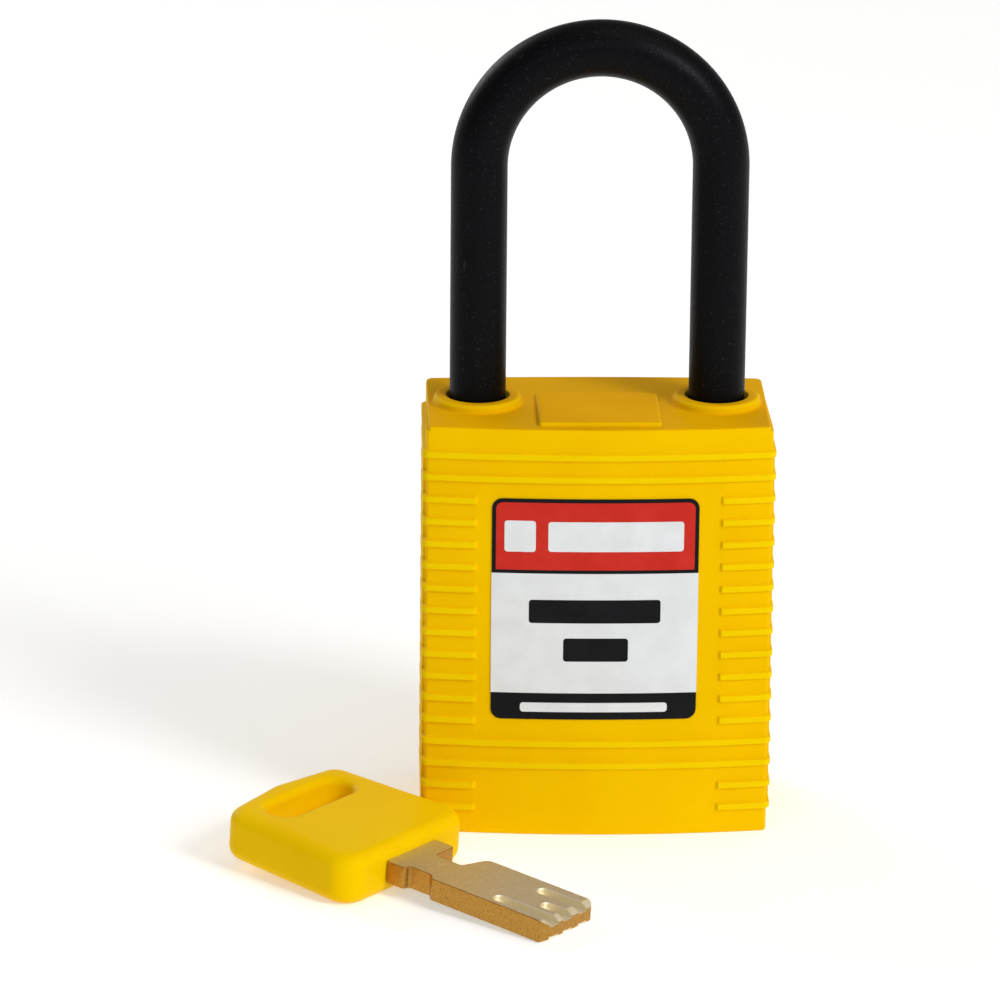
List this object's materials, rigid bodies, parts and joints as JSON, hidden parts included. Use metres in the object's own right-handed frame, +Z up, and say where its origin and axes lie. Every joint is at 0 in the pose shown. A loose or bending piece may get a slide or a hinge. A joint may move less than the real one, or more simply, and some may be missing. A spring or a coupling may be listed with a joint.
{
  "type": "lockout padlock",
  "caption": "Safety lockout padlock: ribbed yellow nylon body, tall non-conductive black shackle, turning key plug with sliding latch bolts, and its flat key beside it.",
  "frame": {"origin": "mouth of the keyway in the middle of the flat base, on the plane that the padlock stands on", "axes": "+Z up through the shackle, +X to the right of the labelled face, -Y out of the labelled face"},
  "size_m": [0.0612, 0.054, 0.0923],
  "materials": {
    "yellow_nylon": "moulded nylon, fine satin texture",
    "black_nylon": "moulded glass-filled nylon, satin",
    "brass": "milled and lightly brushed",
    "steel": "zinc plated",
    "spring_steel": "drawn wire",
    "zinc_alloy": "die cast zinc, bead blasted",
    "label_film": "printed vinyl film, satin laminate"
  },
  "bodies": {
    "root": {"body_shell": "yellow_nylon", "bottom_cover": "yellow_nylon", "retaining_screw": "steel", "shackle_spring": "spring_steel", "cylinder_housing": "zinc_alloy", "pin_chamber_cap": "brass", "driver_pin_1": "steel", "driver_pin_2": "steel", "driver_pin_3": "steel", "driver_pin_4": "steel", "driver_pin_5": "steel", "driver_pin_6": "steel", "pin_spring_1": "spring_steel", "pin_spring_2": "spring_steel", "pin_spring_3": "spring_steel", "pin_spring_4": "spring_steel", "pin_spring_5": "spring_steel", "pin_spring_6": "spring_steel", "front_label": "label_film", "key_bow": "yellow_nylon", "key_blade": "brass"},
    "plug_group": {"plug": "brass", "plug_clip": "steel", "scroll_cam": "zinc_alloy", "key_pin_1": "brass", "key_pin_2": "brass", "key_pin_3": "brass", "key_pin_4": "brass", "key_pin_5": "brass", "key_pin_6": "brass"},
    "shackle_group": {"shackle": "black_nylon", "heel_clip": "steel"},
    "latch_right": {"latch_bolt_right": "steel"},
    "latch_left": {"latch_bolt_left": "steel"}
  },
  "joints": [
    {"name": "plug_turn", "type": "hinge", "parent": "root", "child": "plug_group", "pos_m": [0, 0, 0.02], "axis": [0, 0, 1], "range_deg": [0, 90]},
    {"name": "shackle_lift", "type": "slide", "parent": "root", "child": "shackle_group", "axis": [0, 0, 1], "range_m": [0, 0.0115], "deforming": ["shackle_spring"]},
    {"name": "latch_right_slide", "type": "slide", "parent": "root", "child": "latch_right", "axis": [-1, 0, 0], "range_m": [0, 0.0033]},
    {"name": "latch_left_slide", "type": "slide", "parent": "root", "child": "latch_left", "axis": [1, 0, 0], "range_m": [0, 0.0033]}
  ],
  "couplings": [
    {"joint": "plug_turn", "follows": "shackle_lift", "rad_per_m": 136.59},
    {"joint": "latch_right_slide", "follows": "shackle_lift", "ratio": 0.28696},
    {"joint": "latch_left_slide", "follows": "shackle_lift", "ratio": 0.28696}
  ]
}
